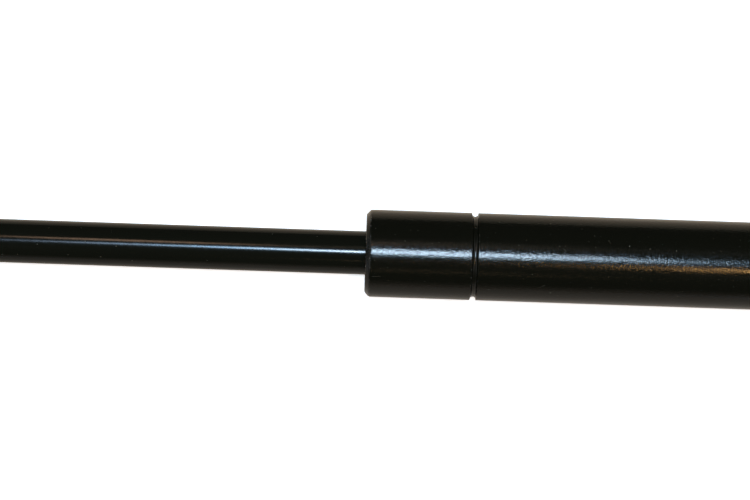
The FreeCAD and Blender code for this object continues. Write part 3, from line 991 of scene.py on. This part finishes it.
# %% Dress every piece
metals = {
    "plug_steel": ((0.42, 0.41, 0.39), (0.50, 0.49, 0.48), 0.32),
    "brass": ((0.72, 0.52, 0.22), (0.60, 0.42, 0.18), 0.30),
    "bearing_bronze": ((0.42, 0.28, 0.15), (0.30, 0.26, 0.22), 0.42),
    "washer_steel": ((0.48, 0.48, 0.48), (0.38, 0.37, 0.36), 0.36),
}
mouldings = {
    "seal_rubber": ((0.012, 0.012, 0.012), (0.022, 0.022, 0.021), 0.55, 0.25 * mm, 0.02 * mm),
    "piston_polymer": ((0.76, 0.74, 0.68), (0.80, 0.79, 0.74), 0.42, 0.5 * mm, 0.01 * mm),
    "ring_polymer": ((0.09, 0.08, 0.07), (0.13, 0.12, 0.10), 0.50, 0.3 * mm, 0.015 * mm),
}
tube_paint()
nitrided_rod()
zinc_plate("zinc_plate")
spring_wire()
for name, values in metals.items():
    turned_metal(name, *values)
for name, values in mouldings.items():
    moulding(name, *values)
print("finishes", list(finishes))

for piece, node in zip(sockets, ("rod_end_ball_stud", "tube_end_ball_stud")):
    low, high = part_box(node)
    own_zinc = piece.name.replace("skin", "zinc")
    zinc_plate(own_zinc, (low.x + high.x) / 2)
    piece.data.materials.append(finishes[own_zinc])
for piece in (tube, rod, guide, wiper, plug, *studs, *clips):
    piece.data.materials.append(finishes[piece["finish"]])
for node, shape in frame["nodes"].items():
    for slot in shape.material_slots:
        slot.material = finishes[slot_of_node[node]]

# %% [markdown]
# The strut lies on a plain white sheet in a darker room, which its reflections give away: the
# tube's lower rim mirrors a sheet that runs on and curves up, its upper rim one that ends within a
# hand's width and grows dim and warm on the way there. To the camera the sheet is a neutral white
# that adds light of its own, and the part that it only reflects keeps a faint shadow. All other
# rays find painted shade and painted warm light in its colour, which dims and warms across the
# strut beside its middle, and a neutral grey near its ends, so that the zinc fittings there mirror
# no colour.

# %% Sheet below the strut
sheet_top = -tube_radius
sheet_x = (cad_box[0].x - 0.2, cad_box[1].x + 0.2)
sheet_y = (line_y - 1.0, line_y + 0.10)
fade_reach = 0.1
# Painted shade and painted warm light: the reflected colour of the sheet dims and warms across the strut.
painted_light_stops = ((0.42, (0.56, 0.43, 0.32)), (0.56, (0.92, 0.67, 0.45)), (0.70, (0.66, 0.47, 0.31)),
              (0.95, (0.37, 0.29, 0.19)))
neutral_from, neutral_by = 0.13, 0.20
neutral_grey, seen_white, seen_glow = (0.60, 0.60, 0.60), (0.80, 0.80, 0.80), 0.78


def paper():
    """White paper with painted shade and warm light across the strut, with Y, for all but camera rays."""
    tree, shader, place_on = start_finish("white_sheet", seen_white, 0.9)
    connect(tree, shader["Specular IOR Level"], 0.0)
    where = add(tree, "SeparateXYZ", vector=place_on)
    # Painted shade and warm light: a ramp over Y darkens and warms the colour that all but camera rays
    # see.
    fade = tree.nodes.new("ShaderNodeValToRGB")
    across = spread(tree, where["Y"], 0, 1, line_y - fade_reach, line_y + fade_reach)
    connect(tree, fade.inputs["Fac"], across)
    for position, color in painted_light_stops[1:-1]:
        fade.color_ramp.elements.new(position)
    for stop, (position, color) in zip(fade.color_ramp.elements, painted_light_stops):
        stop.position = position
        stop.color = (*color, 1)
    from_nose = maths(tree, "ABSOLUTE", maths(tree, "SUBTRACT", where["X"], nose_face))
    near_ends = soft_step(tree, from_nose, neutral_from, neutral_by)
    reflected = tint(tree, near_ends, fade.outputs["Color"], neutral_grey)
    seen = add(tree, "LightPath")["Is Camera Ray"]
    connect(tree, shader["Base Color"], tint(tree, seen, reflected, seen_white))
    glow = add(tree, "Emission", color=(1, 1, 1), strength=maths(tree, "MULTIPLY", seen, seen_glow))
    both = add(tree, "AddShader", tree.nodes["Principled BSDF"].outputs[0], glow[0])
    connect(tree, tree.nodes["Material Output"].inputs["Surface"], both[0])


sheet_mesh = bpy.data.meshes.new("white_sheet")
sheet_mesh.from_pydata([(x, y, sheet_top) for x in sheet_x for y in sheet_y], [], [(0, 2, 3, 1)])
sheet = place("white_sheet", sheet_mesh)
paper()
sheet.data.materials.append(finishes["white_sheet"])

# %% [markdown]
# The world is white to the camera, which carries the sheet's white on to the horizon. Mirror rays
# find the same white toward the strut's two ends, for the zinc fittings, but not near the horizon,
# which the tube's bevelled lip mirrors and which is dark in the photograph. Elsewhere there is a
# dim room. Where the sheet curves up, a pale band stands on the horizon and fades out some 15
# degrees above it, or the tube's lower rim would end in a hard line.

# %% World
room_grey, band_color = (0.050, 0.050, 0.044), (0.32, 0.265, 0.22)
band_full_height, band_top = 0.02, 0.26
band_side_start, band_side_full = 0.05, -0.30
ends_start, ends_full = 0.55, 0.85
horizon_top, horizon_clear = 0.10, 0.25


def room_light():
    """Dim grey, plus a band where the direction's height is near 0 and its y is negative.

    It is white for camera rays, and for mirror rays whose x is near 1 or -1 and whose height isn't
    near 0."""
    world = bpy.data.worlds.new("room")
    bpy.context.scene.world = world
    world.use_nodes = True
    tree = world.node_tree
    tree.nodes.clear()
    direction = add(tree, "SeparateXYZ", vector=add(tree, "TexCoord")["Generated"])
    height = soft_step(tree, direction["Z"], band_top, band_full_height)
    near_side = soft_step(tree, direction["Y"], band_side_start, band_side_full)
    band = maths(tree, "MULTIPLY", height, near_side)
    room = add(tree, "Background", color=tint(tree, band, room_grey, band_color))
    white = add(tree, "Background", color=(1, 1, 1))
    ends = soft_step(tree, maths(tree, "ABSOLUTE", direction["X"]), ends_start, ends_full)
    off_horizon = soft_step(tree, maths(tree, "ABSOLUTE", direction["Z"]), horizon_top, horizon_clear)
    ray = add(tree, "LightPath")
    end_white = maths(tree, "MULTIPLY", ends, off_horizon)
    mirrored = maths(tree, "MULTIPLY", ray["Is Glossy Ray"], end_white)
    to_white = maths(tree, "MAXIMUM", ray["Is Camera Ray"], mirrored)
    either = add(tree, "MixShader", to_white, room[0], white[0])
    add(tree, "OutputWorld", surface=either[0])


room_light()

# %% [markdown]
# The photograph was taken from straight above. Its strut falls by about 34 pixels in a thousand,
# the tube is a little over 87 pixels across, and the middle of its nose's face lies 9.5 pixels
# left of the picture's middle. A long lens of 120 mm keeps both rims of the tube alike, and with
# it these four facts give the camera's height, its roll and its place.

# %% Camera
photo_width, photo_height = 750, 500
nose_pixel = (365.5, 252.9)
strut_fall = 0.03395
tube_pixels = 87.4
lens_length, sensor_width = 120.0, 36.0

focal_pixels = lens_length / sensor_width * photo_width
camera_height = focal_pixels * tube_radius * 2 / tube_pixels
metres_per_pixel = camera_height / focal_pixels
roll = math.atan(strut_fall)
picture_right = np.array([math.cos(roll), math.sin(roll), 0])
picture_up = np.array([-math.sin(roll), math.cos(roll), 0])
shift_right = (photo_width / 2 - nose_pixel[0]) * metres_per_pixel
shift_up = (nose_pixel[1] - photo_height / 2) * metres_per_pixel
below_camera = np.array([nose_face, line_y, 0]) + picture_right * shift_right + picture_up * shift_up

camera_data = bpy.data.cameras.new("camera")
camera_data.lens = lens_length
camera_data.sensor_width = sensor_width
camera_data.clip_start = 0.01
camera = bpy.data.objects.new("camera", camera_data)
bpy.context.scene.collection.objects.link(camera)
camera.location = below_camera + (0, 0, camera_height)
camera.rotation_euler = (0, 0, roll)
bpy.context.scene.camera = camera
print("camera", round(camera_height / mm), "mm above the strut, a pixel is",
      round(metres_per_pixel / mm, 3), "mm")

# %% [markdown]
# The light is a plain soft studio light. Four large soft boxes stand so far toward the strut's ends
# that the polished cylinder never mirrors them into the camera above. Each is given by the radiance
# that a mirror would show, and an area lamp's power is pi times its area times that.

# %% Soft boxes
def soft_box(name, centre, aim, size, radiance, color=(1, 1, 1), shape="RECTANGLE"):
    """Area lamp at a point, facing another, whose mirror image has that radiance."""
    lamp = bpy.data.lights.new(name, "AREA")
    lamp.shape = shape
    lamp.size, lamp.size_y = size
    area = size[0] * size[1] * (math.pi / 4 if shape == "ELLIPSE" else 1)
    lamp.energy = math.pi * area * radiance
    lamp.color = color
    holder = bpy.data.objects.new(name, lamp)
    bpy.context.scene.collection.objects.link(holder)
    holder.location = centre
    holder.rotation_euler = (Vector(aim) - Vector(centre)).to_track_quat("-Z", "Y").to_euler()
    holder.visible_camera = False


box_distance, box_side, box_radiance = 1.5, 0.8, 0.5
box_share_x, box_share_y = 0.8, 0.6
box_elevation = math.radians(45)
reach = box_distance * math.cos(box_elevation)
for box_index, (side_x, side_y) in enumerate(((1, 1), (1, -1), (-1, 1), (-1, -1))):
    corner = below_camera + (side_x * reach * box_share_x, side_y * reach * box_share_y, reach)
    soft_box("corner_box_" + str(box_index + 1), corner, below_camera, (box_side, box_side), box_radiance)

# %% [markdown]
# The strut mirrors the other lamps. Three bluish ones overlap like a window with its glow, and
# their reflection is the streak, brightest beside the nose. Four warm ones stand for the lamps of
# the room. A row of the table gives a lamp's name, its lean in degrees, where its reflection
# starts and ends along the strut, its width in degrees, its radiance and its colour.

# %% Window and room lamps
lamp_height = 1.6
lamps = (
    ("window", 4.6, -0.030, 0.047, 8, 84, (0.81, 1.0, 1.16)),
    ("window_blue", 4.6, -0.064, 0.069, 9, 33, (0.52, 1.0, 1.52)),
    ("window_glow", 4.6, -0.114, 0.050, 8, 11, (0.76, 1.0, 1.34)),
    ("warm_room_left", 23, -0.125, -0.045, 10, 9, (1.0, 0.64, 0.42)),
    ("warm_room_middle", 28, -0.004, 0.050, 14, 1.1, (1.0, 0.88, 0.66)),
    ("warm_room_right", -14, 0.124, 0.190, 6.5, 56, (1.0, 0.56, 0.20)),
    ("warm_line", -44, -0.005, 0.034, 3, 6, (1.0, 0.70, 0.40)),
)


def overhead(name, lean_y, from_x, to_x, width_y, radiance, color):
    """Lamp that a cylinder mirrors to the camera between two places along it.

    A ray that meets the strut at x beside the camera goes on to x * (1 + height / camera height),
    and lean_y is the angle, in degrees toward +Y, under which the lamp hangs over the strut."""
    along = 1 + lamp_height / camera_height
    middle = (from_x + to_x) / 2 * along
    centre = below_camera + (middle, lamp_height * math.tan(math.radians(lean_y)), lamp_height)
    size = ((to_x - from_x) * along, 2 * lamp_height * math.tan(math.radians(width_y / 2)))
    soft_box(name, centre, (centre[0], below_camera[1], 0), size, radiance, color, "ELLIPSE")


for row in lamps:
    overhead(*row)
print("lamps", len(bpy.data.lights))

# %% [markdown]
# The colours are shown as they are, with no film look laid over them.

# %% Finish
bpy.context.scene.view_settings.view_transform = "Standard"
